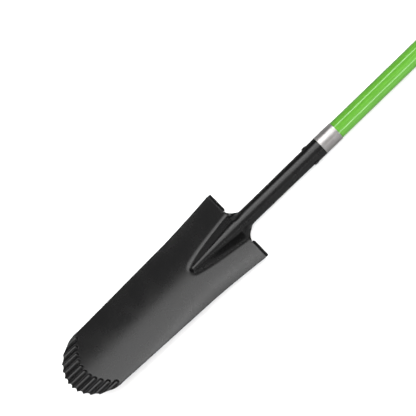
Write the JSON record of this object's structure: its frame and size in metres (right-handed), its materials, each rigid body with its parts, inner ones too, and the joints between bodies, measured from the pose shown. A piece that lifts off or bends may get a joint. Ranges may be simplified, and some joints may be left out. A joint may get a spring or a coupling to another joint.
{
  "type": "detecting shovel",
  "caption": "Long narrow digging shovel with a dished blade, a serrated fluted cutting edge, rolled foot treads, a fibreglass handle and a D-shaped grip.",
  "frame": {"origin": "on the ground under the middle of the shovel's length, as it lies on its back", "axes": "+X along the handle towards the grip, +Z out of the blade's front, +Y across the blade"},
  "size_m": [1.05, 0.1394, 0.0514],
  "materials": {
    "black_powder_coat": "satin powder coat",
    "polished_steel": "polished",
    "green_fibreglass": "glossy",
    "hardwood": "turned, unvarnished",
    "black_nylon": "fine moulded texture",
    "soft_black_rubber": "ribbed, matt",
    "plain_steel": "zinc plated"
  },
  "bodies": {
    "root": {"blade": "black_powder_coat", "socket_rivet": "black_powder_coat", "ferrule": "polished_steel", "handle_tube": "green_fibreglass", "lower_core": "hardwood", "upper_core": "hardwood", "grip_frame": "black_nylon", "grip_sleeve": "soft_black_rubber", "grip_rivet": "plain_steel", "grip_washers": "plain_steel"}
  },
  "joints": []
}
